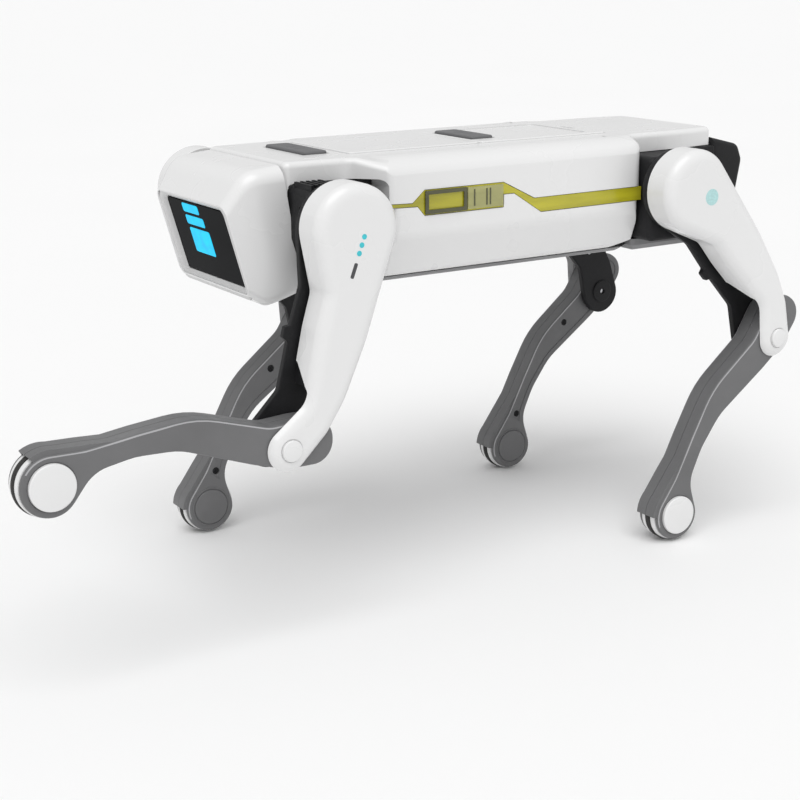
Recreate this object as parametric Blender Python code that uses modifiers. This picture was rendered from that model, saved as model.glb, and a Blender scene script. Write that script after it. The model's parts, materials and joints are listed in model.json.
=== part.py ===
"""Four-legged walking toy robot: trunk, screen head and four two-segment legs on rollers.

X is forward, Y is the robot's left and Z is up, with the floor at Z = 0. Outlines are in
millimetres and MM turns them into metres. Trunk outlines are measured from the point midway
between the four hip axes. Leg outlines are (along, forward): along runs down the segment
from its upper joint, and forward is across it, with the segment hanging straight down.
"""
import math

import bmesh
import bpy
from mathutils import Matrix, Vector

MM = 0.001

# Driving dimensions
THIGH = 121.0
SHANK = 130.0
HIP_X = 119.0
LEG_Y = 89.5
TYRE_RADIUS = 17.5
STANCE_THIGH = -35.4
STANCE_SHANK = 35.8
RAISED_THIGH = 21.0
RAISED_SHANK = 91.3
TRUNK_FORWARD = -50.1
HIP_HEIGHT = (TYRE_RADIUS + THIGH * math.cos(math.radians(STANCE_THIGH))
              + SHANK * math.cos(math.radians(STANCE_SHANK)))

GAP = 0.3
WALL = 2.2
TRUNK_WALL = 2.8
STRIP_DEPTH = 1.6
PIN_RADIUS = 2.5
BORE_RADIUS = 2.8
AXLE_RADIUS = 1.5
AXLE_BORE = 1.8
HUB_RADIUS = 14.0
HUB_BORE = 14.6
ARC_STEP = math.radians(24)
ROUND_SIDES = 28

# Distances from the robot's middle plane
TRUNK_HALF = 67.0
HOUSING_HALF = 74.0
HOUSING_BLOCK = 49.0
HOUSING_FLOOR = -33.0
HOUSING_TOP = 19.2
FRAME_IN = 75.5
FRAME_OUT = 79.8
SHANK_IN = 80.5
SHANK_OUT = 98.5
COVER_IN = 82.5
KNEE_PLATE_IN = 99.1
COVER_OUT = 103.0
WHEEL_HALF = 6.0
GROOVE_HALF = 2.4
TYRE_HALF = 2.2

FINISHES = {
    "white": ((0.80, 0.80, 0.80), 0.28, 0.0),
    "grey": ((0.16, 0.16, 0.165), 0.42, 0.0),
    "black": ((0.025, 0.025, 0.027), 0.60, 0.0),
    "rubber": ((0.012, 0.012, 0.012), 0.75, 0.0),
    "steel": ((0.55, 0.55, 0.57), 0.30, 1.0),
    "screen": ((0.008, 0.009, 0.010), 0.08, 0.0),
    "tint": ((0.42, 0.40, 0.04), 0.18, 0.0),
    "board": ((0.03, 0.16, 0.08), 0.50, 0.0),
    "cell": ((0.10, 0.14, 0.32), 0.45, 0.0),
}


def clear_scene():
    """Remove everything that a new file starts with."""
    for item in list(bpy.data.objects):
        bpy.data.objects.remove(item, do_unlink=True)


def new_collection(name):
    """A collection linked to the scene."""
    group = bpy.data.collections.new(name)
    bpy.context.scene.collection.children.link(group)
    return group


clear_scene()
MODEL = new_collection("robot_dog")
CUTTERS = new_collection("cutters")


def frame_at(name, parent, location, tilt=0.0):
    """An empty that carries a group of parts; tilt turns a leg forward, in degrees."""
    empty = bpy.data.objects.new(name, None)
    empty.empty_display_size = 0.02
    MODEL.objects.link(empty)
    empty.parent = parent
    empty.location = Vector(location) * MM
    empty.rotation_euler = (0.0, -math.radians(tilt), 0.0)
    return empty


def paint(item, finish):
    """Give an object its own Principled material."""
    colour, roughness, metallic = FINISHES[finish]
    material = bpy.data.materials.new(item.name + "_" + finish)
    material.use_nodes = True
    shader = material.node_tree.nodes["Principled BSDF"]
    shader.inputs["Base Color"].default_value = (*colour, 1.0)
    shader.inputs["Roughness"].default_value = roughness
    shader.inputs["Metallic"].default_value = metallic
    material.diffuse_color = (*colour, 1.0)
    item.data.materials.clear()
    item.data.materials.append(material)


def add(name, mesh, parent, finish=None):
    """Put a mesh in the model, or among the cutters when it has no finish."""
    item = bpy.data.objects.new(name, mesh)
    item.parent = parent
    if finish is None:
        CUTTERS.objects.link(item)
        item.hide_render = True
        item.display_type = "WIRE"
    else:
        MODEL.objects.link(item)
        paint(item, finish)
    return item


# Outlines -----------------------------------------------------------------------------

def rounded(corners, weld=True):
    """Closed outline with each (a, b, radius) corner turned into an arc."""
    points = []
    count = len(corners)
    for index, (a, b, radius) in enumerate(corners):
        here = Vector((a, b))
        if radius == 0:
            points.append(here)
            continue
        back = (Vector(corners[index - 1][:2]) - here).normalized()
        ahead = (Vector(corners[(index + 1) % count][:2]) - here).normalized()
        half = back.angle(ahead) / 2
        centre = here + (back + ahead).normalized() * (radius / math.sin(half))
        spoke = here + back * (radius / math.tan(half)) - centre
        turn = math.pi - 2 * half
        if back.cross(ahead) > 0:
            turn = -turn
        steps = max(1, math.ceil(abs(turn) / ARC_STEP))
        for step in range(steps + 1):
            spin = Matrix.Rotation(turn * step / steps, 2)
            points.append(centre + spin @ spoke)
    if not weld:
        return points
    return [place for i, place in enumerate(points) if (place - points[i - 1]).length > 0.05]


def inset(corners, distance):
    """Corners of the parallel outline that lies a distance inside."""
    count = len(corners)
    places = [Vector(corner[:2]) for corner in corners]
    area = sum(place.cross(places[(i + 1) % count]) for i, place in enumerate(places))
    side = 1.0 if area > 0 else -1.0
    moved = []
    for index, here in enumerate(places):
        back = (here - places[index - 1]).normalized()
        ahead = (places[(index + 1) % count] - here).normalized()
        normal_back = Vector((-back.y, back.x)) * side
        normal_ahead = Vector((-ahead.y, ahead.x)) * side
        middle = (normal_back + normal_ahead).normalized()
        place = here + middle * (distance / middle.dot(normal_back))
        bulge = 1.0 if back.cross(ahead) * side > 0 else -1.0
        radius = max(0.0, corners[index][2] - bulge * distance)
        moved.append((place.x, place.y, radius))
    return moved


def leg_outline(corners):
    """Corners given as (along, forward, radius), turned to X forward and Z up."""
    return [(forward, -along, radius) for along, forward, radius in corners]


def sharp(points):
    """Corners without rounding."""
    return [(a, b, 0.0) for a, b in points]


def mirrored(corners):
    """A (y, z, radius) half outline, completed across the middle plane."""
    return corners + [(-a, b, radius) for a, b, radius in reversed(corners)]


# Solids -------------------------------------------------------------------------------

AXES = {
    "X": Matrix(((0, 0, 1), (1, 0, 0), (0, 1, 0))).to_4x4(),
    "Y": Matrix(((1, 0, 0), (0, 0, -1), (0, 1, 0))).to_4x4(),
    "Z": Matrix.Identity(4),
}


def face_outward(work):
    """Make the faces agree and enclose a positive volume."""
    bmesh.ops.recalc_face_normals(work, faces=work.faces)
    if work.calc_volume(signed=True) < 0:
        bmesh.ops.reverse_faces(work, faces=work.faces)


def tidy_mesh(mesh):
    """Weld loose caps, drop needless edges and turn the faces outward."""
    work = bmesh.new()
    work.from_mesh(mesh)
    bmesh.ops.remove_doubles(work, verts=work.verts, dist=0.00001)
    bmesh.ops.dissolve_limit(work, angle_limit=math.radians(1), verts=work.verts, edges=work.edges)
    face_outward(work)
    work.to_mesh(mesh)
    work.free()


def slab_mesh(corners, low, high, axis):
    """A flat outline extruded along an axis: (x, z) for Y, (y, z) for X, (x, y) for Z."""
    outline = rounded(corners)
    curve = bpy.data.curves.new("outline", "CURVE")
    curve.dimensions = "2D"
    curve.fill_mode = "BOTH"
    curve.extrude = abs(high - low) / 2 * MM
    spline = curve.splines.new("POLY")
    spline.points.add(len(outline) - 1)
    for point, place in zip(spline.points, outline):
        point.co = (place[0] * MM, place[1] * MM, 0.0, 1.0)
    spline.use_cyclic_u = True
    holder = bpy.data.objects.new("outline", curve)
    bpy.context.scene.collection.objects.link(holder)
    bpy.context.view_layer.update()
    mesh = bpy.data.meshes.new_from_object(holder.evaluated_get(bpy.context.evaluated_depsgraph_get()))
    bpy.data.objects.remove(holder, do_unlink=True)
    bpy.data.curves.remove(curve)
    middle = {"X": (1, 0, 0), "Y": (0, 1, 0), "Z": (0, 0, 1)}[axis]
    shift = Matrix.Translation(Vector(middle) * ((low + high) / 2 * MM))
    mesh.transform(shift @ AXES[axis])
    tidy_mesh(mesh)
    return mesh


def crowned_mesh(corners, levels, axis):
    """A slab whose outline shrinks by an inset at each of its (inset, distance) levels."""
    work = bmesh.new()
    rings = []
    for depth, distance in levels:
        outline = rounded(inset(corners, depth), weld=False)
        rings.append([work.verts.new((a * MM, b * MM, distance * MM)) for a, b in outline])
    for lower, upper in zip(rings, rings[1:]):
        for index in range(len(lower)):
            corner = (index + 1) % len(lower)
            work.faces.new((lower[index], lower[corner], upper[corner], upper[index]))
    work.faces.new(rings[0])
    work.faces.new(rings[-1])
    if axis == "Y":
        bmesh.ops.scale(work, vec=(1, 1, -1), verts=work.verts)
    bmesh.ops.transform(work, matrix=AXES[axis], verts=work.verts)
    bmesh.ops.remove_doubles(work, verts=work.verts, dist=0.00005)
    face_outward(work)
    mesh = bpy.data.meshes.new("crowned")
    work.to_mesh(mesh)
    work.free()
    return mesh


def rod_mesh(radius, low, high, centre=(0.0, 0.0), sides=ROUND_SIDES, top_radius=None):
    """A round bar along Y between two distances, centred at (x, z)."""
    work = bmesh.new()
    last = radius if top_radius is None else top_radius
    near, far = (low, high) if low < high else (high, low)
    start, end = (radius, last) if low < high else (last, radius)
    bmesh.ops.create_cone(work, cap_ends=True, segments=sides, radius1=end * MM, radius2=start * MM,
                          depth=(far - near) * MM)
    mesh = bpy.data.meshes.new("rod")
    work.to_mesh(mesh)
    work.free()
    place = Vector((centre[0], (near + far) / 2, centre[1])) * MM
    mesh.transform(Matrix.Translation(place) @ AXES["Y"])
    return mesh


def box_mesh(low, high):
    """A box between two corners."""
    work = bmesh.new()
    bmesh.ops.create_cube(work, size=1.0)
    size = [(b - a) * MM for a, b in zip(low, high)]
    centre = [(a + b) / 2 * MM for a, b in zip(low, high)]
    bmesh.ops.scale(work, vec=size, verts=work.verts)
    bmesh.ops.translate(work, vec=centre, verts=work.verts)
    mesh = bpy.data.meshes.new("box")
    work.to_mesh(mesh)
    work.free()
    return mesh


def turned_mesh(profile, sides=ROUND_SIDES):
    """A profile of (radius, y) points turned about the Y axis with a Screw modifier."""
    mesh = bpy.data.meshes.new("profile")
    points = [(radius * MM, y * MM, 0.0) for radius, y in profile]
    edges = [(i, (i + 1) % len(points)) for i in range(len(points))]
    mesh.from_pydata(points, edges, [])
    holder = bpy.data.objects.new("profile", mesh)
    bpy.context.scene.collection.objects.link(holder)
    screw = holder.modifiers.new("turn", "SCREW")
    screw.axis = "Y"
    screw.steps = sides
    screw.render_steps = sides
    screw.use_merge_vertices = True
    screw.merge_threshold = 0.00001
    bpy.context.view_layer.update()
    result = bpy.data.meshes.new_from_object(holder.evaluated_get(bpy.context.evaluated_depsgraph_get()))
    bpy.data.objects.remove(holder, do_unlink=True)
    work = bmesh.new()
    work.from_mesh(result)
    face_outward(work)
    work.to_mesh(result)
    work.free()
    return result


def combine(item, mesh, operation, label):
    """Cut a mesh from an object, or join it on, in the object's own frame."""
    tool = add(item.name + "_" + label, mesh, item.parent)
    step = item.modifiers.new(label, "BOOLEAN")
    step.operation = operation
    step.solver = "EXACT"
    step.object = tool


def cut(item, mesh, label):
    """Remove a mesh's space from an object."""
    combine(item, mesh, "DIFFERENCE", label)


def keep(item, mesh, label):
    """Keep only what lies inside a mesh."""
    combine(item, mesh, "INTERSECT", label)


def join(item, mesh, label):
    """Add a mesh to an object."""
    combine(item, mesh, "UNION", label)


def soften(item, width, segments=2, angle=40):
    """Round an object's sharp edges."""
    bevel = item.modifiers.new("rounding", "BEVEL")
    bevel.width = width * MM
    bevel.segments = segments
    bevel.limit_method = "ANGLE"
    bevel.angle_limit = math.radians(angle)
    bevel.use_clamp_overlap = False


def smooth(item):
    """Shade the round faces smooth and keep the sharp edges."""
    item.data.shade_smooth()
    item.data.set_sharp_from_angle(angle=math.radians(35))


# Leg outlines (along, forward, radius) --------------------------------------------------

COVER_OUTLINE = leg_outline([
    (-25, -25, 24.2), (-25, 25, 25), (7.2, 25, 24.8), (38, 6, 8), (57, 4.6, 20), (95, -1, 12),
    (118, 13, 11.5), (134, 13, 12.6), (134, -8.3, 12.6), (108, -20.5, 20), (88, -25, 40), (55, -27, 40)])

FRAME_OUTLINE = leg_outline([
    (-23, -23, 22.3), (-23, 23, 23), (7, 23, 22.9), (37, 13, 8), (58.5, 11.7, 1), (60, 14.9, 1),
    (66, 14.2, 1), (67.5, 10.5, 2), (94, 7, 8), (116.5, 15, 13.5), (136, 15, 13.5), (136, -9.5, 13.5),
    (108, -18.5, 20), (88, -21, 30), (55, -23, 30)])

def channel_outline(end):
    """The thigh's hollow core, from the hip down to an end that leaves the knee free."""
    return leg_outline([
        (-25, -25, 24.2), (-25, 25, 25), (7.2, 25, 24.8), (38, 6, 8), (57, 4.6, 20), (end, -1, 1),
        (end, -25, 1), (55, -27, 40)])


SHANK_OUTLINE = leg_outline([
    (-28, -11, 12), (-28, 14.5, 12.4), (-8, 14.5, 30), (10, 13, 20), (52, 24.5, 60), (84, 20.5, 60),
    (112, 16.0, 60), (146, 16, 15.9), (146, -16, 15.9), (123, -16, 14), (108, 4, 20), (86, 8.4, 40),
    (62, 8.2, 40), (20, -6, 40), (0, -11.5, 30)])


# Leg pieces -----------------------------------------------------------------------------

def band(side, inner, outer):
    """Distances from the middle plane turned to this side's Y, relative to the plane."""
    return side * inner, side * outer


def make_thigh_cover(leg, side, hip):
    """White outer shell: hollow above, a thin plate over the knee."""
    levels = ((0, COVER_IN), (0, COVER_OUT - 4), (1.2, COVER_OUT - 1.2), (4, COVER_OUT))
    levels = [(depth, side * distance) for depth, distance in levels]
    cover = add(leg + "_thigh_cover", crowned_mesh(COVER_OUTLINE, levels, "Y"), hip, "white")
    inner = inset(COVER_OUTLINE, WALL)
    low, high = band(side, COVER_IN - 1, COVER_OUT - WALL - 0.5)
    cavity = slab_mesh(inner, low, high, "Y")
    cut(cover, cavity, "cavity")
    low, high = sorted(band(side, COVER_IN - 2, KNEE_PLATE_IN))
    cut(cover, box_mesh((-40, low, -140), (40, high, -90)), "knee_clearance")
    low, high = band(side, COVER_IN, COVER_OUT + 1)
    cut(cover, rod_mesh(BORE_RADIUS, low, high, (0, -THIGH), 16), "pin_bore")
    smooth(cover)


def make_thigh_frame(leg, side, hip):
    """Black inner half: a side plate, a channel wall and the hub that turns in the housing."""
    low, high = band(side, FRAME_IN, FRAME_OUT)
    frame = add(leg + "_thigh_frame", slab_mesh(FRAME_OUTLINE, low, high, "Y"), hip, "black")
    low, high = band(side, FRAME_OUT - 0.5, COVER_OUT - WALL - 1.0)
    join(frame, slab_mesh(inset(channel_outline(90), WALL + 0.4), low, high, "Y"), "channel")
    low, high = band(side, FRAME_OUT, COVER_OUT)
    cut(frame, slab_mesh(inset(channel_outline(104), WALL + 2.4), low, high, "Y"), "channel_hollow")
    low, high = band(side, FRAME_IN + 1, HOUSING_HALF - 12)
    join(frame, rod_mesh(HUB_RADIUS, low, high), "hub")
    low, high = band(side, FRAME_IN - 2, FRAME_OUT + 2)
    cut(frame, rod_mesh(BORE_RADIUS, low, high, (0, -THIGH), 16), "pin_bore")
    smooth(frame)


def make_shank_half(leg, side, knee, name, near, far, wall_in, wall_out):
    """One moulded half of the shank, hollow and open towards the other half."""
    low, high = band(side, near, far)
    half = add(leg + "_" + name, slab_mesh(SHANK_OUTLINE, low, high, "Y"), knee, "grey")
    low, high = band(side, wall_in, wall_out)
    cut(half, slab_mesh(inset(SHANK_OUTLINE, WALL), low, high, "Y"), "cavity")
    low, high = band(side, LEG_Y - WHEEL_HALF - 0.5, LEG_Y + WHEEL_HALF + 0.5)
    cut(half, rod_mesh(TYRE_RADIUS + 0.7, low, high, (0, -SHANK), 24), "wheel_slot")
    low, high = band(side, SHANK_IN - 1, SHANK_OUT + 1)
    cut(half, rod_mesh(BORE_RADIUS, low, high, (0, 0), 16), "pin_bore")
    cut(half, rod_mesh(AXLE_BORE, low, high, (0, -SHANK), 12), "axle_bore")
    smooth(half)


def make_shank(leg, side, knee):
    """Both shank halves, split on the leg's middle plane."""
    make_shank_half(leg, side, knee, "shank_outer", LEG_Y + GAP / 2, SHANK_OUT,
                    LEG_Y - 1, SHANK_OUT - WALL)
    make_shank_half(leg, side, knee, "shank_inner", SHANK_IN, LEG_Y - GAP / 2,
                    SHANK_IN + WALL, LEG_Y + 1)


def make_knee(leg, side, knee_on_thigh):
    """The pin through the knee and the white cap over its outer end."""
    low, high = band(side, FRAME_IN + 0.3, COVER_OUT - 0.6)
    pin = add(leg + "_knee_pin", rod_mesh(PIN_RADIUS, low, high, (0, 0), 16), knee_on_thigh, "steel")
    smooth(pin)
    low, high = band(side, COVER_OUT + GAP, COVER_OUT + 2.0)
    cap = add(leg + "_knee_cap", rod_mesh(5.8, low, high, (0, 0), 24, 5.2), knee_on_thigh, "white")
    smooth(cap)


def ring(side, points):
    """A turned profile given as (radius, distance from the leg's middle plane)."""
    return [(radius, side * (LEG_Y + offset)) for radius, offset in points]


def make_foot(leg, side, foot):
    """Axle, outer cap, white roller and its black tyre."""
    low, high = band(side, SHANK_IN + 0.4, SHANK_OUT - 0.4)
    axle = add(leg + "_foot_axle", rod_mesh(AXLE_RADIUS, low, high, (0, 0), 12), foot, "steel")
    smooth(axle)
    low, high = band(side, SHANK_OUT + GAP, SHANK_OUT + 2.6)
    cap = add(leg + "_foot_cap", rod_mesh(12.2, low, high, (0, 0), 28, 11.4), foot, "white")
    smooth(cap)
    roller = ring(side, [
        (AXLE_BORE, -WHEEL_HALF), (16.0, -WHEEL_HALF), (16.8, 0.8 - WHEEL_HALF),
        (16.8, -GROOVE_HALF), (13.8, -GROOVE_HALF), (13.8, GROOVE_HALF), (16.8, GROOVE_HALF),
        (16.8, WHEEL_HALF - 0.8), (16.0, WHEEL_HALF), (AXLE_BORE, WHEEL_HALF)])
    wheel = add(leg + "_wheel", turned_mesh(roller, 24), foot, "white")
    smooth(wheel)
    band_profile = ring(side, [
        (14.1, -TYRE_HALF), (16.9, -TYRE_HALF), (TYRE_RADIUS, -1.2), (TYRE_RADIUS, 1.2),
        (16.9, TYRE_HALF), (14.1, TYRE_HALF)])
    tyre = add(leg + "_tyre", turned_mesh(band_profile, 32), foot, "rubber")
    smooth(tyre)


def make_leg(leg, trunk, hip_x, side, thigh_angle, shank_angle):
    """One leg on its hip, knee and foot axes, posed as it stands."""
    hip = frame_at(leg + "_hip_axis", trunk, (hip_x, 0, 0), thigh_angle)
    knee = frame_at(leg + "_knee_axis", hip, (0, 0, -THIGH), shank_angle - thigh_angle)
    knee_on_thigh = frame_at(leg + "_knee_seat", hip, (0, 0, -THIGH))
    foot = frame_at(leg + "_foot_axis", knee, (0, 0, -SHANK))
    make_thigh_cover(leg, side, hip)
    make_thigh_frame(leg, side, hip)
    make_knee(leg, side, knee_on_thigh)
    make_shank(leg, side, knee)
    make_foot(leg, side, foot)


# Trunk outlines -------------------------------------------------------------------------

PLAN = [
    (133.2, -48, 4), (133.2, 48, 4), (92, 50, 6), (77, 67, 6), (-103, 67, 6), (-106, 50, 6),
    (-150, 49, 20), (-179.5, 45, 4), (-179.5, -45, 4), (-150, -49, 20), (-106, -50, 6),
    (-103, -67, 6), (77, -67, 6), (92, -50, 6)]
POD = [(77, -67, 6), (77, 67, 6), (-103, 67, 6), (-103, -67, 6)]
DECK = 31.0
ARCH_TOP = 19.6
STRIP_TOP = [(77, 5.5), (63, 5.0), (55, 11.9), (0.7, 12.0), (-21.6, 0.9), (-103, 1.2)]
STRIP_LOW = [(-103, -7.1), (-26.6, -7.5), (-7, 5.1), (0.6, 5.1), (0.6, -2.3), (55, -2.3), (59.5, 3.0), (77, 3.5)]


SEAM = [(120, 4.3), (57, 4.3), (-4, 8.0), (-24, -3.2), (-130, -3.2)]
SEAM_GAP = 0.25


def seam_cutter(shift, limit):
    """All that lies between the shells' parting line and a height above or below it."""
    line = [(x, z + shift) for x, z in SEAM]
    return slab_mesh(sharp(line + [(-130, limit), (120, limit)]), -90, 90, "Y")


def strip_cutter(side):
    """The groove in the side wall that the tinted strip sits in."""
    wide = inset(sharp(STRIP_TOP + STRIP_LOW), -GAP)
    low, high = band(side, TRUNK_HALF - STRIP_DEPTH - GAP, TRUNK_HALF + 3)
    return slab_mesh(wide, low, high, "Y")


def make_upper_shell(trunk):
    """White back shell: hollow, open below, arched over the four hips."""
    levels = ((0, -12), (0, DECK - 4), (1.2, DECK - 1.2), (3.9, DECK))
    shell = add("upper_shell", crowned_mesh(PLAN, levels, "Z"), trunk, "white")
    cut(shell, slab_mesh(inset(PLAN, TRUNK_WALL), ARCH_TOP, DECK - TRUNK_WALL, "Z"), "cavity")
    cut(shell, slab_mesh(inset(POD, TRUNK_WALL), -30, DECK - TRUNK_WALL, "Z"), "pod_cavity")
    cut(shell, box_mesh((77.5, -90, -20), (140, 90, ARCH_TOP)), "front_arch")
    cut(shell, box_mesh((-200, -90, -20), (-103.4, 90, ARCH_TOP)), "rear_arch")
    cut(shell, seam_cutter(SEAM_GAP, -30), "below_seam")
    cut(shell, box_mesh((-5.0, -35, DECK - 1.9), (85, 35, DECK + 5)), "front_panel_seat")
    cut(shell, box_mesh((-100.3, -35, DECK - 1.9), (-5.6, 35, DECK + 5)), "rear_panel_seat")
    cut(shell, box_mesh((91.4, -24.6, DECK - 8), (108.6, 24.6, DECK + 5)), "front_button_hole")
    cut(shell, box_mesh((-25.6, -21.6, DECK - 8), (-7.4, 21.6, DECK + 5)), "back_button_hole")
    for side, label in ((1, "left"), (-1, "right")):
        cut(shell, strip_cutter(side), "strip_groove_" + label)
    smooth(shell)


def make_lower_shell(trunk):
    """White tub under the back shell, tapering in below the side walls."""
    section = mirrored([(67, 20, 0), (67, -13, 8), (57, -37, 4)])
    shell = add("lower_shell", slab_mesh(section, -103, 77, "X"), trunk, "white")
    keep(shell, slab_mesh(POD, -50, 30, "Z"), "pod_corners")
    low = mirrored([(67 - TRUNK_WALL, 25, 0), (67 - TRUNK_WALL, -13, 7), (57 - TRUNK_WALL, -37 + TRUNK_WALL, 3)])
    cut(shell, slab_mesh(low, -103 + TRUNK_WALL, 77 - TRUNK_WALL, "X"), "cavity")
    cut(shell, seam_cutter(-SEAM_GAP, 40), "above_seam")
    wedge = sharp([(-110, -50), (-110, -31), (-103.5, -32.2), (-84, -37), (-80, -38.5), (-80, -50)])
    cut(shell, slab_mesh(wedge, -80, 80, "Y"), "rear_chamfer")
    for side, label in ((1, "left"), (-1, "right")):
        cut(shell, strip_cutter(side), "strip_groove_" + label)
    smooth(shell)


def make_side_strip(trunk, side, label):
    """Tinted light strip along one side, with its dark window frame."""
    outline = sharp(STRIP_TOP + STRIP_LOW)
    low, high = band(side, TRUNK_HALF - STRIP_DEPTH, TRUNK_HALF - 0.2)
    strip = add("side_strip_" + label, slab_mesh(outline, low, high, "Y"), trunk, "tint")
    smooth(strip)
    low, high = band(side, TRUNK_HALF - 0.2 + GAP, TRUNK_HALF + 1.0)
    frame = add("window_frame_" + label, slab_mesh(
        sharp([(55, -1.6), (55, 11.4), (26.5, 11.4), (26.5, -1.6)]), low, high, "Y"), trunk, "grey")
    low, high = band(side, TRUNK_HALF - 2, TRUNK_HALF + 3)
    cut(frame, slab_mesh(sharp([(53, 0.2), (53, 9.6), (28.5, 9.6), (28.5, 0.2)]),
                         low, high, "Y"), "opening")


def make_deck(trunk):
    """Front deck panel, rear battery hatch and the two push pads in the back."""
    top = DECK + 0.9
    seat = DECK - 1.9 + GAP
    front = add("deck_panel_front", box_mesh((-4.7, -34.7, seat), (84.7, 34.7, top)), trunk, "white")
    cut(front, box_mesh((-8, -15, seat - 1), (-4.0, 15, top + 2)), "pad_notch")
    soften(front, 0.6, 1, 60)
    rear = add("deck_panel_rear", box_mesh((-100, -34.7, seat), (-5.9, 34.7, top)), trunk, "white")
    cut(rear, box_mesh((-25.6, -21.6, seat - 1), (-7.4, 21.6, top + 2)), "pad_hole")
    soften(rear, 0.6, 1, 60)
    pads = (("touch_button_front", 92.0, 108.0, 24.0, DECK + 1.6),
            ("touch_button_back", -25.0, -8.0, 21.0, top + 1.5))
    for name, low_x, high_x, half, height in pads:
        base = height - 5.0 if name == "touch_button_front" else seat + 0.3
        pad = add(name, box_mesh((low_x, -half, base), (high_x, half, height)), trunk, "grey")
        soften(pad, 0.8, 2, 60)


def make_head(trunk):
    """Head shell, bezel, screen and the lamp board behind it."""
    side = [
        (134.8, 29.5, 0), (158, 26, 8), (169, 8, 5), (155, -41.5, 5), (146, -47, 4), (126, -42, 2),
        (132, -10, 20)]
    shell = add("head_shell", slab_mesh(side, -50, 50, "Y"), trunk, "white")
    soften(shell, 5.0, 2, 50)
    face = frame_at("face_axis", trunk, (160.0, 0, -16.2), -15.8)
    cavity = slab_mesh(inset(side, 3.2), -46.5, 46.5, "Y")
    cut(shell, cavity, "cavity")
    window = box_mesh((-7, -44.3, -29.3), (14, 44.3, 28.3))
    tool = add("head_shell_window", window, face)
    step = shell.modifiers.new("window", "BOOLEAN")
    step.operation = "DIFFERENCE"
    step.solver = "EXACT"
    step.object = tool
    smooth(shell)
    bezel = add("face_bezel", box_mesh((-4.5, -44, -29), (0.9, 44, 28)), face, "grey")
    cut(bezel, box_mesh((-10, -37.4, -22.8), (10, 37.4, 22.8)), "opening")
    lens = add("face_lens", box_mesh((-3.2, -37, -22.4), (-0.4, 37, 22.4)), face, "screen")
    soften(lens, 0.4, 1, 60)
    add("led_board", box_mesh((-8.4, -36, -21), (-6.8, 36, 21)), face, "board")
    return bezel


def make_chassis(trunk):
    """Grey belly plate with raised seats for the two black hip housings."""
    plan = [
        (124, -40, 6), (124, 40, 6), (84, 48, 10), (74, 55, 5), (-98, 55, 5), (-108, 48, 10),
        (-176, 46, 6), (-176, -46, 6), (-108, -48, 10), (-98, -55, 5), (74, -55, 5), (84, -48, 10)]
    levels = ((3.0, -41), (0.6, -39), (0, -37.4))
    plate = add("belly_plate", crowned_mesh(plan, levels, "Z"), trunk, "grey")
    join(plate, box_mesh((79, -50, -38.5), (122, 50, HOUSING_FLOOR - GAP)), "front_seat")
    join(plate, box_mesh((-176, -56, -38.5), (-104.5, 56, HOUSING_FLOOR - GAP)), "rear_seat")
    smooth(plate)
    make_housing(trunk, "hip_housing_front", HIP_X, (78.0, 131.0), (95.0, 131.0), 7.0)
    make_housing(trunk, "hip_housing_rear", -HIP_X, (-179.0, -103.8), (-143.0, -103.8), 0.0)


def make_housing(trunk, name, hip_x, block, boss, chin):
    """A black hollow block across the trunk whose bosses hold two hip hubs; chin slants its front."""
    floor = HOUSING_FLOOR
    middle = [(block[0], floor, 2), (block[1] - chin, floor, 2), (block[1], -10.0, 3),
              (block[1], HOUSING_TOP, 2), (block[0], HOUSING_TOP, 2)]
    outer = [(boss[0], floor, 5), (boss[1] - chin, floor, 5), (boss[1], -10.0, 5),
             (boss[1], HOUSING_TOP, 5), (boss[0], HOUSING_TOP, 5)]
    housing = add(name, slab_mesh(middle, -HOUSING_BLOCK, HOUSING_BLOCK, "Y"), trunk, "black")
    join(housing, slab_mesh(outer, -HOUSING_HALF, HOUSING_HALF, "Y"), "bosses")
    reach = HOUSING_BLOCK - WALL
    cut(housing, slab_mesh(inset(middle, WALL), -reach, reach, "Y"), "block_cavity")
    reach = HOUSING_HALF - WALL
    cut(housing, slab_mesh(inset(outer, WALL + 0.4), -reach, reach, "Y"), "boss_cavity")
    reach = HOUSING_HALF + 3
    cut(housing, rod_mesh(HUB_BORE, -reach, reach, (hip_x, 0)), "hub_bores")
    smooth(housing)


def make_rear_cover(trunk):
    """Black end block behind the rear hips."""
    outline = [(-180, 24, 0), (-180, -36.5, 4), (-200, -30, 6), (-208, 8, 8), (-204, 18, 6)]
    cover = add("rear_cover", slab_mesh(outline, -45, 45, "Y"), trunk, "black")
    soften(cover, 3.0, 2, 50)
    cut(cover, slab_mesh(inset(outline, 2.5), -42, 42, "Y"), "cavity")
    cut(cover, box_mesh((-190, -36, -28), (-170, 36, 14)), "opening")
    smooth(cover)


def make_insides(trunk):
    """Battery pack under the rear hatch and the main board ahead of it."""
    cells = add("battery_pack", box_mesh((-98, -30, -34), (-40, 30, 2)), trunk, "cell")
    soften(cells, 2.0, 2, 60)
    add("main_board", box_mesh((-20, -36, -22), (66, 36, -20.4)), trunk, "board")


def make_robot():
    """The whole robot, with its front left leg raised."""
    trunk = frame_at("trunk_axis", None, (TRUNK_FORWARD, 0, HIP_HEIGHT))
    make_upper_shell(trunk)
    make_lower_shell(trunk)
    make_deck(trunk)
    make_head(trunk)
    make_chassis(trunk)
    make_rear_cover(trunk)
    make_insides(trunk)
    for side, label in ((1, "left"), (-1, "right")):
        make_side_strip(trunk, side, label)
    make_leg("fl", trunk, HIP_X, 1, RAISED_THIGH, RAISED_SHANK)
    make_leg("fr", trunk, HIP_X, -1, STANCE_THIGH, STANCE_SHANK)
    make_leg("rl", trunk, -HIP_X, 1, STANCE_THIGH, STANCE_SHANK)
    make_leg("rr", trunk, -HIP_X, -1, STANCE_THIGH, STANCE_SHANK)
    bpy.context.view_layer.update()


make_robot()
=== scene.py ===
import json
import math

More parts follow.
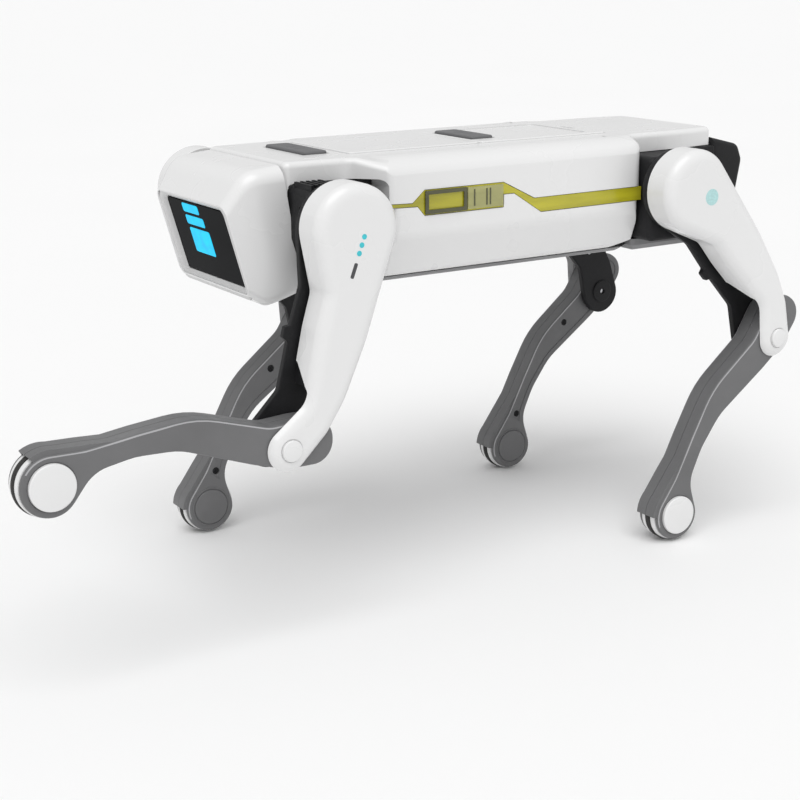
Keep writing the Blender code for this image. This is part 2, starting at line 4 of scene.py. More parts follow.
import bmesh
import bpy
from mathutils import Matrix, Vector


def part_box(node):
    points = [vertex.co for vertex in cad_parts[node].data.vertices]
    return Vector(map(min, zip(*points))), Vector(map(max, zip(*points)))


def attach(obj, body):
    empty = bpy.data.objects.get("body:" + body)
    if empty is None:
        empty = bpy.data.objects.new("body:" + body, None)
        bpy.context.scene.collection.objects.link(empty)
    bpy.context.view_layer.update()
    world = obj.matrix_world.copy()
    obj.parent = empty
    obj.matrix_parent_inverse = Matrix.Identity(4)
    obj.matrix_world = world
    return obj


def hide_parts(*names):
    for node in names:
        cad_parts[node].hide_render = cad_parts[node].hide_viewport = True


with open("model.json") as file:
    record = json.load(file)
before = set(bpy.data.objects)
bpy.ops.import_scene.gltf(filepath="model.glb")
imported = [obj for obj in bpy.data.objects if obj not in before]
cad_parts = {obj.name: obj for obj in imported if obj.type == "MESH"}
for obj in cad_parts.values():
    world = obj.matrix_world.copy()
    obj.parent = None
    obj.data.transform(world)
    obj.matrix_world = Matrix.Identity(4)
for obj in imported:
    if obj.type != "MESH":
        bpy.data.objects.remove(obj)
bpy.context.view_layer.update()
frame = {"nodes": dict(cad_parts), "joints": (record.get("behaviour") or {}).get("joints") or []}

# The looks of a four-legged walking robot: glossy white shells, satin grey shanks, black inner
# frames, a lit screen face and rollers for feet. Outlines are in millimetres in the frame of the
# piece they shape: the trunk's frame sits midway between the hips, a leg segment's frame sits on
# its upper joint with Z up the segment and X forward. MM turns them into metres.

MM = 0.001

JOINTS = {joint["name"]: Vector(joint["pos_m"]) for joint in frame["joints"] if "pos_m" in joint}
LEGS = {"fl": 1, "fr": -1, "rl": 1, "rr": -1}
HIP_MIDDLE = (JOINTS["fl_hip"] + JOINTS["rr_hip"]) / 2
TRUNK = Matrix.Translation(HIP_MIDDLE)
HIP_X = (JOINTS["fl_hip"].x - HIP_MIDDLE.x) / MM
THIGH = (JOINTS["fl_knee"] - JOINTS["fl_hip"]).length / MM
SHANK = (JOINTS["fl_wheel_spin"] - JOINTS["fl_knee"]).length / MM
LEG_Y = JOINTS["fl_knee"].y / MM


def span(node, axis):
    """Lowest and highest distance of a CAD node along an axis, in the trunk's frame and in millimetres."""
    low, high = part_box(node)
    return (low[axis] - HIP_MIDDLE[axis]) / MM, (high[axis] - HIP_MIDDLE[axis]) / MM


# How far out from the middle each layer of a leg starts and ends, and half sizes of the trunk.
COVER_IN, COVER_OUT = span("fl_thigh_cover", 1)
FRAME_IN = 75.5
FRAME_OUT = 79.8
KNEE_PLATE_IN = 99.1
SHANK_IN = span("fl_shank_inner", 1)[0]
SHANK_OUT = span("fl_shank_outer", 1)[1]
HOUSING_HALF = span("hip_housing_front", 1)[1]
TRUNK_HALF = span("upper_shell", 1)[1]
DECK = span("upper_shell", 2)[1]
TYRE_RADIUS = (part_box("fl_tyre")[1].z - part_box("fl_tyre")[0].z) / 2 / MM

# Steps of a rounded corner, and the turn above which a shaded edge stays sharp.
ARC_STEP = math.radians(7)
CREASE = math.radians(32)

# Places on a leg segment, as (x, z): the joint at its lower end and the screws in its inner face.
KNEE = (0, -THIGH)
FOOT = (0, -SHANK)
FRAME_SCREWS = (KNEE, (-8, -90))
FRAME_SOCKETS = FRAME_SCREWS + ((-8, -40),)
SHANK_SCREWS = ((12.2, -34), (9.8, -108.5))


# Outlines -----------------------------------------------------------------------------

def rounded(corners):
    """Closed outline with each (a, b, radius) corner turned into an arc."""
    points = []
    count = len(corners)
    for index, (a, b, radius) in enumerate(corners):
        here = Vector((a, b))
        if radius == 0:
            points.append(here)
            continue
        back = (Vector(corners[index - 1][:2]) - here).normalized()
        ahead = (Vector(corners[(index + 1) % count][:2]) - here).normalized()
        half = back.angle(ahead) / 2
        centre = here + (back + ahead).normalized() * (radius / math.sin(half))
        spoke = here + back * (radius / math.tan(half)) - centre
        turn = math.pi - 2 * half
        if back.cross(ahead) > 0:
            turn = -turn
        steps = max(1, math.ceil(abs(turn) / ARC_STEP))
        for step in range(steps + 1):
            spin = Matrix.Rotation(turn * step / steps, 2)
            points.append(centre + spin @ spoke)
    return points


def inset(corners, distance):
    """Corners of the parallel outline that lies a distance inside."""
    count = len(corners)
    places = [Vector(corner[:2]) for corner in corners]
    area = sum(place.cross(places[(i + 1) % count]) for i, place in enumerate(places))
    side = 1.0 if area > 0 else -1.0
    moved = []
    for index, here in enumerate(places):
        back = (here - places[index - 1]).normalized()
        ahead = (places[(index + 1) % count] - here).normalized()
        normal_back = Vector((-back.y, back.x)) * side
        normal_ahead = Vector((-ahead.y, ahead.x)) * side
        middle = (normal_back + normal_ahead).normalized()
        place = here + middle * (distance / middle.dot(normal_back))
        bulge = 1.0 if back.cross(ahead) * side > 0 else -1.0
        radius = corners[index][2]
        if radius:
            radius = max(0.03, radius - bulge * distance)
        moved.append((place.x, place.y, radius))
    return moved


def leg_outline(corners):
    """Corners given as (along, forward, radius), turned to X forward and Z up."""
    return [(forward, -along, radius) for along, forward, radius in corners]


def sharp(points):
    """Corners without rounding."""
    return [(a, b, 0.0) for a, b in points]


def mirrored(corners):
    """Half an outline, completed across the middle plane."""
    return corners + [(-a, b, radius) for a, b, radius in reversed(corners)]


def rounding(low, high, low_round=0.0, high_round=0.0, high_inset=None, steps=6):
    """(inset, distance) levels of a slab whose two rims are quarter rounds."""
    levels = []
    for step in range(steps + 1 if low_round else 1):
        angle = math.pi / 2 * (1 - step / steps)
        levels.append((low_round * (1 - math.cos(angle)), low + low_round * (1 - math.sin(angle))))
    sideways = high_round if high_inset is None else high_inset
    for step in range(steps + 1 if high_round else 1):
        angle = math.pi / 2 * step / steps
        levels.append((sideways * (1 - math.cos(angle)), high - high_round * (1 - math.sin(angle))))
    return levels


# Meshes -------------------------------------------------------------------------------

AXES = {
    "X": Matrix(((0, 0, 1), (1, 0, 0), (0, 1, 0))).to_4x4(),
    "Y": Matrix(((1, 0, 0), (0, 0, 1), (0, 1, 0))).to_4x4(),
    "Z": Matrix.Identity(4),
}


def finished(work, name="shape"):
    """A mesh from a bmesh, welded and facing outward."""
    bmesh.ops.remove_doubles(work, verts=work.verts, dist=0.00002)
    bmesh.ops.recalc_face_normals(work, faces=work.faces)
    if work.calc_volume(signed=True) < 0:
        bmesh.ops.reverse_faces(work, faces=work.faces)
    mesh = bpy.data.meshes.new(name)
    work.to_mesh(mesh)
    work.free()
    return mesh


def slab(corners, levels, axis="Y", bend=None):
    """A slab along an axis whose outline shrinks by an inset at each of its (inset, distance) levels.

    The outline is (x, z) for Y, (y, z) for X and (x, y) for Z. bend moves each point of it.
    """
    work = bmesh.new()
    rings = []
    for depth, distance in levels:
        ring = []
        for a, b in rounded(inset(corners, depth)):
            place = AXES[axis] @ Vector((a, b, distance))
            if bend:
                place = bend(place)
            ring.append(work.verts.new(place * MM))
        rings.append(ring)
    for lower, upper in zip(rings, rings[1:]):
        for index in range(len(lower)):
            corner = (index + 1) % len(lower)
            work.faces.new((lower[index], lower[corner], upper[corner], upper[index]))
    work.faces.new(rings[0])
    work.faces.new(rings[-1])
    return finished(work)


def block(low, high):
    """A box between two corners."""
    work = bmesh.new()
    bmesh.ops.create_cube(work, size=1.0)
    bmesh.ops.scale(work, vec=[(b - a) * MM for a, b in zip(low, high)], verts=work.verts)
    bmesh.ops.translate(work, vec=[(a + b) / 2 * MM for a, b in zip(low, high)], verts=work.verts)
    return finished(work)


def turned(profile, centre=(0.0, 0.0), sides=72):
    """A closed profile of (radius, y) points turned about an axis along Y through (x, z)."""
    work = bmesh.new()
    rings = []
    for radius, y in profile:
        if radius == 0:
            rings.append([work.verts.new((centre[0] * MM, y * MM, centre[1] * MM))] * sides)
            continue
        ring = []
        for step in range(sides):
            angle = 2 * math.pi * step / sides
            place = (centre[0] + radius * math.cos(angle), y, centre[1] + radius * math.sin(angle))
            ring.append(work.verts.new(Vector(place) * MM))
        rings.append(ring)
    closed = profile[0][0] > 0 and profile[-1][0] > 0
    pairs = list(zip(rings, rings[1:])) + ([(rings[-1], rings[0])] if closed else [])
    for lower, upper in pairs:
        for index in range(sides):
            corner = (index + 1) % sides
            face = [lower[index], lower[corner], upper[corner], upper[index]]
            face = [vert for place, vert in enumerate(face) if vert not in face[:place]]
            if len(face) > 2:
                work.faces.new(face)
    return finished(work)


def rod(radius, low, high, centre=(0.0, 0.0), sides=72):
    """A plain round bar along Y."""
    return turned([(0, low), (radius, low), (radius, high), (0, high)], centre, sides)


def button(radius, low, high, crown, centre=(0.0, 0.0)):
    """A round cap along Y with a domed outer face; high is its rim and crown its rise."""
    profile = [(0, low), (radius, low), (radius, high)]
    edge = min(0.9, radius * 0.2)
    for step in range(1, 6):
        angle = math.pi / 2 * step / 5
        profile.append((radius - edge * (1 - math.cos(angle)), high + crown * 0.6 * math.sin(angle)))
    for share in (0.6, 0.3, 0.0):
        profile.append(((radius - edge) * share, high + crown * (1 - 0.4 * share * share)))
    return turned(profile, centre)


def evaluated(holder):
    """A copy of an object's mesh with its modifiers applied; the object is removed."""
    bpy.context.view_layer.update()
    depsgraph = bpy.context.evaluated_depsgraph_get()
    mesh = bpy.data.meshes.new_from_object(holder.evaluated_get(depsgraph))
    bpy.data.objects.remove(holder, do_unlink=True)
    return mesh


def holder_of(mesh):
    """A temporary object in the scene."""
    holder = bpy.data.objects.new("work", mesh)
    bpy.context.scene.collection.objects.link(holder)
    return holder


def combined(base, tools, operation):
    """A mesh with others joined on or cut out."""
    holder = holder_of(base)
    helpers = []
    for tool in tools:
        helper = holder_of(tool)
        helpers.append(helper)
        step = holder.modifiers.new("step", "BOOLEAN")
        step.operation = operation
        step.solver = "EXACT"
        step.object = helper
    mesh = evaluated(holder)
    for helper in helpers:
        bpy.data.objects.remove(helper, do_unlink=True)
    return mesh


def cut(base, *tools):
    return combined(base, tools, "DIFFERENCE")


def joined(base, *tools):
    return combined(base, tools, "UNION")


def eased(mesh, width, segments=2, angle=50):
    """A mesh with its sharp edges rounded by a small radius."""
    work = bmesh.new()
    work.from_mesh(mesh)
    bmesh.ops.dissolve_limit(work, angle_limit=math.radians(0.5), verts=work.verts, edges=work.edges)
    work.to_mesh(mesh)
    work.free()
    holder = holder_of(mesh)
    bevel = holder.modifiers.new("ease", "BEVEL")
    bevel.width = width * MM
    bevel.segments = segments
    bevel.limit_method = "ANGLE"
    bevel.angle_limit = math.radians(angle)
    return evaluated(holder)


def piece(name, mesh, matrix, body, finish, replaced=()):
    """Put a finished mesh in place, on its body, instead of the CAD nodes it shows."""
    mesh.name = name
    mesh.transform(matrix)
    if matrix.determinant() < 0:
        mesh.flip_normals()
    item = bpy.data.objects.new(name, mesh)
    bpy.context.scene.collection.objects.link(item)
    mesh.shade_smooth()
    mesh.set_sharp_from_angle(angle=CREASE)
    even = item.modifiers.new("even_normals", "WEIGHTED_NORMAL")
    even.keep_sharp = True
    mesh.materials.clear()
    mesh.materials.append(finish)
    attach(item, body)
    if replaced:
        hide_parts(*replaced)
    return item


# Finishes -----------------------------------------------------------------------------

class Nodes:
    """A material's node tree with short ways to add to it."""

    def __init__(self, name, colour):
        self.material = bpy.data.materials.new(name)
        self.material.use_nodes = True
        self.material.diffuse_color = (*colour, 1.0)
        self.tree = self.material.node_tree
        self.shader = self.tree.nodes["Principled BSDF"]
        self.place = self.add("ShaderNodeTexCoord").outputs["Object"]
        self.colour = self.shader.inputs["Base Color"]
        self.roughness = self.shader.inputs["Roughness"]
        self.colour.default_value = (*colour, 1.0)

    def add(self, kind, **values):
        node = self.tree.nodes.new(kind)
        for key, value in values.items():
            if key in node.inputs:
                node.inputs[key].default_value = value
            else:
                setattr(node, key, value)
        return node

    def link(self, source, target):
        self.tree.links.new(source, target)

    def noise(self, scale, detail=3.0, roughness=0.55, stretch=(1, 1, 1)):
        """Soft noise; scale counts its features in a metre."""
        mapping = self.add("ShaderNodeMapping")
        mapping.inputs["Scale"].default_value = stretch
        self.link(self.place, mapping.inputs["Vector"])
        noise = self.add("ShaderNodeTexNoise", Scale=scale, Detail=detail, Roughness=roughness)
        self.link(mapping.outputs["Vector"], noise.inputs["Vector"])
        return noise.outputs["Fac"]

    def ramp(self, source, low, high, start=0.3, end=0.7):
        """A colour or a number that runs between two values."""
        node = self.add("ShaderNodeValToRGB")
        first, last = node.color_ramp.elements
        first.position, last.position = start, end
        first.color = low if isinstance(low, tuple) else (low, low, low, 1)
        last.color = high if isinstance(high, tuple) else (high, high, high, 1)
        self.link(source, node.inputs["Fac"])
        return node.outputs["Color"]

    def bump(self, source, depth, strength=1.0, under=None):
        """Raise the surface by a height in metres."""
        node = self.add("ShaderNodeBump", Strength=strength, Distance=depth)
        self.link(source, node.inputs["Height"])
        if under is not None:
            self.link(under, node.inputs["Normal"])
        self.link(node.outputs["Normal"], self.shader.inputs["Normal"])
        return node.outputs["Normal"]

    def set(self, **values):
        for key, value in values.items():
            self.shader.inputs[key.replace("_", " ")].default_value = value


def shade(colour, factor):
    return tuple(min(1.0, channel * factor) for channel in colour) + (1.0,)


def white_gloss(name="white_gloss", colour=(0.80, 0.80, 0.80)):
    """Glossy moulded ABS: faint flow shading and a light handling haze."""
    nodes = Nodes(name, colour)
    flow = nodes.noise(7.0, 1.0)
    nodes.link(nodes.ramp(flow, shade(colour, 0.985), shade(colour, 1.015)), nodes.colour)
    haze = nodes.noise(24.0, 3.0, 0.5)
    nodes.link(nodes.ramp(haze, 0.24, 0.30), nodes.roughness)
    nodes.bump(nodes.noise(420.0, 1.0), 0.000004, 0.4)
    nodes.set(Coat_Weight=0.1, Coat_Roughness=0.15)
    return nodes.material


def grey_satin(name, colour, low=0.38, high=0.52):
    """Satin moulded plastic with a fine spark-eroded grain."""
    nodes = Nodes(name, colour)
    cloud = nodes.noise(26.0, 4.0)
    nodes.link(nodes.ramp(cloud, shade(colour, 0.93), shade(colour, 1.07)), nodes.colour)
    nodes.link(nodes.ramp(nodes.noise(120.0, 4.0), low, high), nodes.roughness)
    nodes.bump(nodes.noise(2600.0, 2.0), 0.00003, 0.5)
    return nodes.material


def black_textured():
    """Matte black plastic with a pebbled leather grain."""
    colour = (0.013, 0.013, 0.014)
    nodes = Nodes("black_textured", colour)
    nodes.set(Specular_IOR_Level=0.22)
    cells = nodes.add("ShaderNodeTexVoronoi", Scale=900.0)
    nodes.link(nodes.place, cells.inputs["Vector"])
    dust = nodes.noise(60.0, 5.0, 0.7)
    nodes.link(nodes.ramp(dust, shade(colour, 0.8), shade(colour, 1.5)), nodes.colour)
    nodes.link(nodes.ramp(dust, 0.46, 0.62), nodes.roughness)
    nodes.bump(cells.outputs["Distance"], 0.00008, 0.6)
    return nodes.material


def tyre_rubber():
    """Soft black rubber with a dull, slightly dusty surface."""
    colour = (0.012, 0.012, 0.012)
    nodes = Nodes("tyre_rubber", colour)
    dust = nodes.noise(90.0, 6.0, 0.7)
    nodes.link(nodes.ramp(dust, shade(colour, 0.8), (0.035, 0.034, 0.032, 1)), nodes.colour)
    nodes.link(nodes.ramp(dust, 0.62, 0.85), nodes.roughness)
    nodes.bump(nodes.noise(1500.0, 3.0), 0.00004, 0.6)
    return nodes.material


def turned_steel():
    """Bright turned steel with fine rings of tool marks."""
    nodes = Nodes("turned_steel", (0.55, 0.55, 0.57))
    marks = nodes.noise(600.0, 2.0, 0.5, (0.1, 4.0, 0.1))
    nodes.link(nodes.ramp(marks, 0.22, 0.42), nodes.roughness)
    nodes.link(nodes.ramp(marks, (0.48, 0.48, 0.5, 1), (0.62, 0.62, 0.64, 1)), nodes.colour)
    nodes.set(Metallic=1.0)
    return nodes.material


def screen_glass():
    """Deep black gloss window with a faint smear."""
    nodes = Nodes("screen_glass", (0.003, 0.003, 0.004))
    smear = nodes.noise(22.0, 4.0, 0.6, (1.0, 0.4, 1.0))
    nodes.link(nodes.ramp(smear, 0.05, 0.16), nodes.roughness)
    nodes.link(nodes.ramp(smear, (0.003, 0.003, 0.004, 1), (0.008, 0.009, 0.010, 1)), nodes.colour)
    nodes.set(Specular_IOR_Level=0.3, IOR=1.09)
    return nodes.material


def lamp_glow():
    """Cyan lamp blocks: even light with a faint diffuser grain."""
    nodes = Nodes("lamp_glow", (0.0, 0.04, 0.05))
    grain = nodes.noise(160.0, 2.0)
    light = nodes.ramp(grain, (0.0, 0.52, 0.90, 1), (0.0, 0.68, 1.0, 1))
    nodes.link(light, nodes.shader.inputs["Emission Color"])
    nodes.link(nodes.ramp(grain, 0.3, 0.4), nodes.roughness)
    nodes.set(Emission_Strength=1.0, Specular_IOR_Level=0.1)
    return nodes.material


def tinted_plastic(name, colour, clear):
    """Translucent tinted plastic with soft moulding streaks."""
    nodes = Nodes(name, colour)
    streaks = nodes.noise(70.0, 3.0, 0.5, (0.25, 1.0, 1.6))
    nodes.link(nodes.ramp(streaks, shade(colour, 0.78), shade(colour, 1.18)), nodes.colour)
    nodes.link(nodes.ramp(streaks, 0.10, 0.22), nodes.roughness)
    nodes.set(Transmission_Weight=clear, IOR=1.49, Coat_Weight=0.3, Coat_Roughness=0.06)
    return nodes.material


def circuit_board():
    """Green solder mask with paler copper tracks under it."""
    colour = (0.02, 0.13, 0.06)
    nodes = Nodes("circuit_board", colour)
    tracks = nodes.add("ShaderNodeTexBrick", Scale=140.0)
    tracks.inputs["Color1"].default_value = shade(colour, 1.0)
    tracks.inputs["Color2"].default_value = shade(colour, 1.35)
    tracks.inputs["Mortar"].default_value = (0.10, 0.30, 0.12, 1)
    tracks.inputs["Mortar Size"].default_value = 0.03
    nodes.link(nodes.place, tracks.inputs["Vector"])
    nodes.link(tracks.outputs["Color"], nodes.colour)
    nodes.link(nodes.ramp(nodes.noise(80.0), 0.35, 0.5), nodes.roughness)
    return nodes.material


def cell_wrap():
    """Shrink wrap over battery cells: blue film with soft wrinkles."""
    colour = (0.03, 0.08, 0.26)
    nodes = Nodes("cell_wrap", colour)
    folds = nodes.noise(60.0, 4.0, 0.6, (1.0, 0.3, 1.0))
    nodes.link(nodes.ramp(folds, shade(colour, 0.8), shade(colour, 1.3)), nodes.colour)
    nodes.link(nodes.ramp(folds, 0.25, 0.42), nodes.roughness)
    nodes.bump(folds, 0.0004, 0.4)
    return nodes.material


def flat_ink(name, colour):
    """Pad-printed ink with slightly uneven cover."""
    nodes = Nodes(name, colour)
    cover = nodes.noise(700.0, 3.0)
    nodes.link(nodes.ramp(cover, shade(colour, 0.9), shade(colour, 1.1)), nodes.colour)
    nodes.link(nodes.ramp(cover, 0.35, 0.5), nodes.roughness)
    return nodes.material


WHITE = white_gloss()
# The bezel is the head's white plastic, made darker grey as painted shade on its downward-facing frame.
SHADED_BEZEL_WHITE = white_gloss("bezel_white_painted_shade", (0.62, 0.62, 0.62))
SHANK_GREY = grey_satin("shank_grey", (0.145, 0.145, 0.148))
# A lighter, glossier grey for the bead along each shank's front edge: a painted highlight where the edge
# catches light.
EDGE_HIGHLIGHT_GREY = grey_satin("painted_edge_highlight", (0.42, 0.42, 0.43), 0.2, 0.3)
TRIM_GREY = grey_satin("trim_grey", (0.20, 0.20, 0.205))
PAD_GREY = grey_satin("pad_grey", (0.13, 0.13, 0.135), 0.5, 0.65)
BLACK = black_textured()
RUBBER = tyre_rubber()
STEEL = turned_steel()
SCREEN = screen_glass()
GLOW = lamp_glow()
OLIVE = tinted_plastic("olive_tint", (0.50, 0.46, 0.025), 0.1)
SMOKE = tinted_plastic("smoke_tint", (0.10, 0.10, 0.04), 0.3)
CLEAR = tinted_plastic("clear_tint", (0.50, 0.49, 0.20), 0.35)
BOARD = circuit_board()
WRAP = cell_wrap()
CYAN_INK = flat_ink("cyan_ink", (0.05, 0.55, 0.62))
DARK_INK = flat_ink("dark_ink", (0.06, 0.06, 0.065))
PALE_INK = flat_ink("pale_ink", (0.45, 0.70, 0.70))


# Legs ---------------------------------------------------------------------------------

COVER_OUTLINE = leg_outline([
    (-25, -25, 24.2), (-25, 25, 25), (7.2, 25, 24.8), (38, 6, 9), (57, 4.6, 24), (95, -1, 12),
    (118, 13, 11.5), (134, 13, 12.6), (134, -8.3, 12.6), (108, -20.5, 24), (88, -25, 60), (55, -27, 60)])

FRAME_OUTLINE = leg_outline([
    (-23, -23, 22.3), (-23, 23, 23), (7, 23, 22.9), (37, 10.5, 8), (58.5, 9.3, 1), (60, 12.5, 1),
    (66, 11.8, 1), (67.5, 8.2, 2), (94, 5, 8), (116.5, 15, 13.0), (136, 15, 13.5), (136, -9.5, 13.5),
    (108, -18.5, 20), (88, -21, 30), (55, -23, 30)])

SHANK_OUTLINE = leg_outline([
    (-27.7, -11, 12), (-27.7, 14.5, 12.4), (-8, 14.5, 30), (10, 13, 20), (52, 24.5, 60), (84, 20.5, 60),
    (112, 16.0, 60), (146, 16, 15.9), (146, -16, 15.9), (123, -16, 14), (108, 4, 20), (86, 8.4, 40),
    (62, 8.2, 40), (20, -6, 40), (0, -11.5, 30)])


def segment_frame(upper, lower, side):
    """A leg segment's frame, with its Y turned outward so that one shape makes both sides."""
    down = (lower - upper).normalized()
    frame_axes = Matrix(((-down.z, 0, -down.x), (0, side, 0), (down.x, 0, -down.z))).to_4x4()
    return Matrix.Translation((upper.x, 0, upper.z)) @ frame_axes


def channel_outline(end):
    """The thigh's hollow core, from the hip down to an end that leaves the knee free."""
    return leg_outline([
        (-25, -25, 24.2), (-25, 25, 25), (7.2, 25, 24.8), (38, 6, 9), (57, 4.6, 24), (end, -1, 1),
        (end, -25, 1), (55, -27, 60)])


def thigh_cover_mesh():
    """White outer shell with a broad rounded shoulder, thinning to a plate over the knee."""
    shell = slab(COVER_OUTLINE, rounding(COVER_IN, COVER_OUT, 0.6, 6.5, 7.5, 10))
    cavity = slab(inset(COVER_OUTLINE, 2.2), [(0, COVER_IN - 2), (0, COVER_OUT - 8), (5, COVER_OUT - 2.8)])
    sweep = [(COVER_IN - 6, -74, 0), (COVER_IN + 2, -76, 5), (KNEE_PLATE_IN, -89, 3),
             (KNEE_PLATE_IN, -150, 0), (COVER_IN - 6, -150, 0)]
    knee_room = slab(sweep, [(0, -50), (0, 50)], "X")
    dish = rod(6.5, COVER_OUT - 0.6, COVER_OUT + 2, KNEE)
    return eased(cut(shell, cavity, knee_room, dish), 0.3, 2, 40)


def thigh_frame_mesh():
    """Black inner half: side plate, channel wall, ribs, knee boss and the hub in the housing."""
    plate = slab(FRAME_OUTLINE, rounding(FRAME_IN, FRAME_OUT, 1.2, 0.6, None, 4))
    wall = slab(inset(channel_outline(90), 2.6), [(0, FRAME_OUT - 1), (0, COVER_OUT - 4)])
    hollow = slab(inset(channel_outline(104), 4.6), [(0, FRAME_OUT), (0, COVER_OUT)])
    rib = block((-10, FRAME_OUT - 0.5, -0.8), (10, COVER_OUT - 8, 0.8))
    ribs = []
    for along, tilt in ((36, 0), (56, 40), (56, -40)):
        mesh = rib.copy()
        turn = Matrix.Rotation(math.radians(tilt), 4, "Y")
        mesh.transform(Matrix.Translation((-10 * MM, 0, -along * MM)) @ turn)
        ribs.append(mesh)
    hub = rod(14, HOUSING_HALF - 12, FRAME_IN + 1)
    boss = button(8, FRAME_IN + 1, FRAME_IN - 0.6, -0.6, KNEE)
    body = joined(cut(joined(plate, wall), hollow), hub, boss, *ribs)
    sockets = [rod(2.0, FRAME_IN - 3, FRAME_IN + 1.6, place, 24) for place in FRAME_SOCKETS]
    return eased(cut(body, *sockets), 0.25, 1, 50)


def round_foot(radius, degrees):
    """Points on a circle about the foot axle; an angle of 0 points forward."""
    angles = [math.radians(angle) for angle in degrees]
    return [(radius * math.cos(angle), radius * math.sin(angle) - SHANK) for angle in angles]


def fender_mesh(low, high):
    """The part of the fork that wraps the front of the roller and runs up into the shank."""
    front = round_foot(18.9, range(-33, 10, 3))
    top = [(18.6, 18 - SHANK), (18.1, 34 - SHANK), (12.0, 34 - SHANK), (13.0, -SHANK)]
    back = round_foot(13.0, range(-12, -34, -3))
    return slab(sharp(front + top + back), [(0, low), (0, high)])


def shank_highlight_bead_mesh(outer):
    """A fine bead along the front rim of a shank's side face, in a lighter grey as a painted highlight on the
    edge.
    """
    face = SHANK_OUT - 0.03 if outer else SHANK_IN + 0.03
    low, high = sorted((face, face - 1.0 if outer else face + 1.0))
    band = slab(inset(SHANK_OUTLINE, 0.45), [(0, low), (0, high)])
    core = slab(inset(SHANK_OUTLINE, 1.3), [(0, low - 1), (0, high + 1)])
    front = slab(leg_outline([
        (-14, 8, 0), (0, 4, 0), (20, 5, 0), (52, 16, 0), (84, 14, 0), (112, 9, 0), (131, 8, 0), (150, 8, 0),
        (150, 60, 0), (-14, 60, 0)]), [(0, low - 2), (0, high + 2)])
    return combined(cut(band, core), [front], "INTERSECT")


def shank_inner_face(body):
    """Add the recessed panel, and the dome and its rim over the foot axle, to the inner half."""
    panel = slab(inset(SHANK_OUTLINE, 4.2), [(0, SHANK_IN + 0.45), (-0.4, SHANK_IN - 1)])
    beyond = block((-40, SHANK_IN - 2, -200), (60, SHANK_IN + 2, -112))
    body = cut(body, cut(panel, beyond))
    dome = button(11.5, SHANK_IN + 1, SHANK_IN - 0.1, -1.7, FOOT)
    rim = turned([(11.8, SHANK_IN + 1), (11.8, SHANK_IN - 0.35), (12.2, SHANK_IN - 0.5),
                  (12.8, SHANK_IN - 0.4), (13.1, SHANK_IN + 1)], FOOT)
    return joined(body, dome, rim)


def shank_half_mesh(outer):
    """Half of the curved shank, with the crisp front edge, the wheel slot and its face details."""
    gap = 0.1
    if outer:
        body = slab(SHANK_OUTLINE, rounding(LEG_Y + gap, SHANK_OUT, 0, 1.3, None, 4))
        body = joined(body, fender_mesh(LEG_Y + gap, SHANK_OUT - 1.0))
        details = [rod(12.8, SHANK_OUT - 0.5, SHANK_OUT + 2, FOOT)]
    else:
        body = slab(SHANK_OUTLINE, rounding(SHANK_IN, LEG_Y - gap, 1.3, 0, None, 4))
        body = shank_inner_face(joined(body, fender_mesh(SHANK_IN + 1.0, LEG_Y - gap)))
        details = [rod(2.4, SHANK_IN - 2, SHANK_IN + 2.2, place, 32) for place in SHANK_SCREWS]
    slot_half = 6.5
    slot_radius = TYRE_RADIUS + 0.7
    slot = rod(slot_radius, LEG_Y - slot_half, LEG_Y + slot_half, FOOT)
    return eased(cut(body, slot, *details), 0.22, 2, 45)


def roller_mesh():
    """White roller with a groove for the tyre and rounded rims."""
    half = [(1.8, 6), (15.8, 6), (16.5, 5.7), (16.8, 5), (16.8, 2.5), (13.8, 2.5)]
    profile = [(radius, LEG_Y - out) for radius, out in half]
    profile += [(radius, LEG_Y + out) for radius, out in reversed(half)]
    return turned(profile)


def tyre_mesh():
    """Black band with a crowned tread."""
    profile = [(14.0, LEG_Y - 2.3), (16.6, LEG_Y - 2.3)]
    for step in range(7):
        angle = math.pi * (step / 6 - 0.5)
        profile.append((TYRE_RADIUS - 0.55 * (1 - math.cos(angle)), LEG_Y + 2.2 * math.sin(angle)))
    profile += [(16.6, LEG_Y + 2.3), (14.0, LEG_Y + 2.3)]
    return turned(profile, sides=96)


def screw_mesh(radius, low, high, centre):
    """A small screw head with a cross slot, facing -Y."""
    head = rod(radius, low, high, centre, 28)
    x, z = centre
    arm = radius * 0.6
    first = block((x - arm, low - 0.5, z - 0.25), (x + arm, low + 0.5, z + 0.25))
    second = block((x - 0.25, low - 0.5, z - arm), (x + 0.25, low + 0.5, z + arm))
    return cut(head, first, second)


def screws_mesh(radius, face, places):
    """Screw heads sunk into the inner face of a leg segment, as one mesh."""
    heads = [screw_mesh(radius, face, face + 1.0, place) for place in places]
    return joined(*heads)


def leg_shapes():
    """Every leg shape, made once."""
    return {
        "cover": thigh_cover_mesh(),
        "frame": thigh_frame_mesh(),
        "knee_button": button(5.9, COVER_OUT - 0.5, COVER_OUT + 0.9, 1.05, KNEE),
        "frame_screws": screws_mesh(1.9, FRAME_IN + 0.6, FRAME_SCREWS),
        "shank_outer": shank_half_mesh(True),
        "shank_inner": shank_half_mesh(False),
        "shank_screws_painted_shade": screws_mesh(2.2, SHANK_IN + 1.2, SHANK_SCREWS),
        "highlight_bead_outer": shank_highlight_bead_mesh(True),
        "highlight_bead_inner": shank_highlight_bead_mesh(False),
        "foot_button": button(12.2, SHANK_OUT - 0.4, SHANK_OUT + 1.2, 1.3, FOOT),
        "roller": roller_mesh(),
        "tyre": tyre_mesh(),
    }


def repaint(node, finish):
    """Give a CAD node that stays in view its finish."""
    item = frame["nodes"][node]
    item.data.materials.clear()
    item.data.materials.append(finish)


